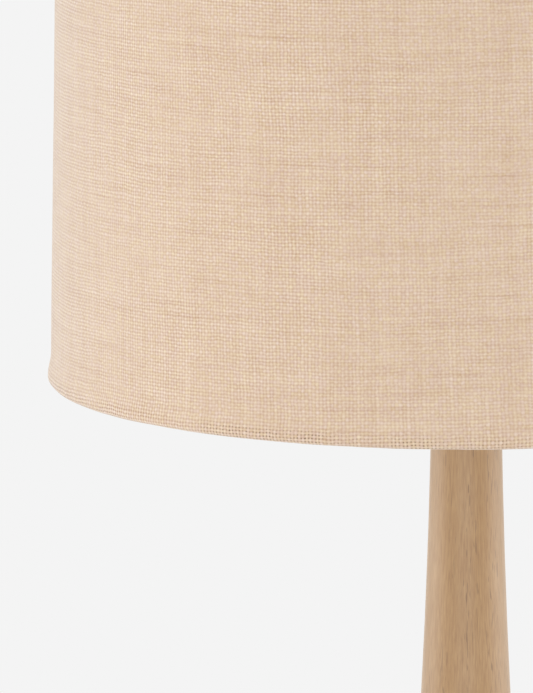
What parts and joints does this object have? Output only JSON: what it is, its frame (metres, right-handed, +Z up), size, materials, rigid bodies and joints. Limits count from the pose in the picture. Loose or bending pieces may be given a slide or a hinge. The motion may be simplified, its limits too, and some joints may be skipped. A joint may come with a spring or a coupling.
{
  "type": "column table lamp",
  "caption": "Table lamp with a flaring turned wood column on a round weighted base and a linen drum shade held by a harp, with socket, switch, bulb and finial.",
  "frame": {"origin": "on the table under the column's axis, at the underside of the felt", "axes": "+Z up the column; -Y is the front, where the switch is; +Y is the back, where the lead enters the base"},
  "size_m": [0.4088, 0.4088, 0.6909],
  "materials": {
    "felt": "brushed felt",
    "turned_wood": "pale oiled wood with fine pores",
    "cast_iron": "rough cast",
    "zinc_steel": "zinc plated",
    "satin_brass": "satin",
    "bare_aluminium": "satin",
    "black_plastic": "fine moulded texture",
    "phenolic": "semi-gloss phenolic",
    "fibre_liner": "waxed fibre board",
    "black_glass": "glossy vitrified insulator",
    "opal_glass": "soft white coating",
    "clear_glass": "clear",
    "tungsten": "drawn wire",
    "white_styrene": "smooth sheet",
    "natural_linen": "coarse plain weave",
    "white_wire": "semi-gloss white coat"
  },
  "bodies": {
    "root": {"felt_pad": "felt", "base_disc": "turned_wood", "ballast_plate": "cast_iron", "ballast_screws": "zinc_steel", "cord_bushing": "black_plastic", "column": "turned_wood", "threaded_rod": "zinc_steel", "bottom_washer": "zinc_steel", "bottom_nut": "zinc_steel", "column_cap": "satin_brass", "neck_tube": "satin_brass", "saddle_nut": "satin_brass", "socket_cap": "satin_brass", "set_screw": "zinc_steel", "socket_shell": "satin_brass", "insulating_liner": "fibre_liner", "socket_body": "phenolic", "terminal_screws": "satin_brass", "screw_shell": "bare_aluminium", "centre_contact": "satin_brass", "harp_saddle": "satin_brass", "switch_bushing": "satin_brass"},
    "switch": {"switch_shaft": "satin_brass", "switch_knob": "black_plastic"},
    "bulb": {"bulb_glass": "opal_glass", "bulb_cap": "bare_aluminium", "bulb_insulator": "black_glass", "bulb_contact": "satin_brass", "bulb_stem": "clear_glass", "bulb_filament": "tungsten"},
    "harp": {"harp_wire_left": "satin_brass", "harp_wire_right": "satin_brass", "harp_top": "satin_brass"},
    "left_sleeve": {"harp_sleeve_left": "satin_brass"},
    "right_sleeve": {"harp_sleeve_right": "satin_brass"},
    "swivel_stud": {"harp_stud": "satin_brass"},
    "shade": {"shade_liner": "white_styrene", "shade_fabric": "natural_linen", "top_hem": "natural_linen", "bottom_hem": "natural_linen", "top_ring": "white_wire", "bottom_ring": "white_wire", "spider_arm_back": "white_wire", "spider_arm_left": "white_wire", "spider_arm_right": "white_wire", "spider_hub": "satin_brass"},
    "finial": {"finial_base": "satin_brass", "finial_knob": "turned_wood"}
  },
  "joints": [
    {"name": "switch_turn", "type": "hinge", "parent": "root", "child": "switch", "pos_m": [0, -0.03, 0.446], "axis": [0, -1, 0], "continuous": true},
    {"name": "bulb_lift", "type": "slide", "parent": "root", "child": "bulb", "axis": [0, 0, 1], "range_m": [0, 0.026]},
    {"name": "harp_lift", "type": "slide", "parent": "root", "child": "harp", "axis": [0, 0, 1], "range_m": [0, 0.02]},
    {"name": "left_sleeve_lift", "type": "slide", "parent": "harp", "child": "left_sleeve", "axis": [0, 0, 1], "range_m": [0, 0.02]},
    {"name": "right_sleeve_lift", "type": "slide", "parent": "harp", "child": "right_sleeve", "axis": [0, 0, 1], "range_m": [0, 0.02]},
    {"name": "shade_turn", "type": "hinge", "parent": "harp", "child": "swivel_stud", "pos_m": [0, 0, 0.655], "axis": [0, 0, 1], "continuous": true},
    {"name": "shade_lift", "type": "slide", "parent": "swivel_stud", "child": "shade", "axis": [0, 0, 1], "range_m": [0, 0.29]},
    {"name": "finial_lift", "type": "slide", "parent": "shade", "child": "finial", "axis": [0, 0, 1], "range_m": [0, 0.02]}
  ]
}
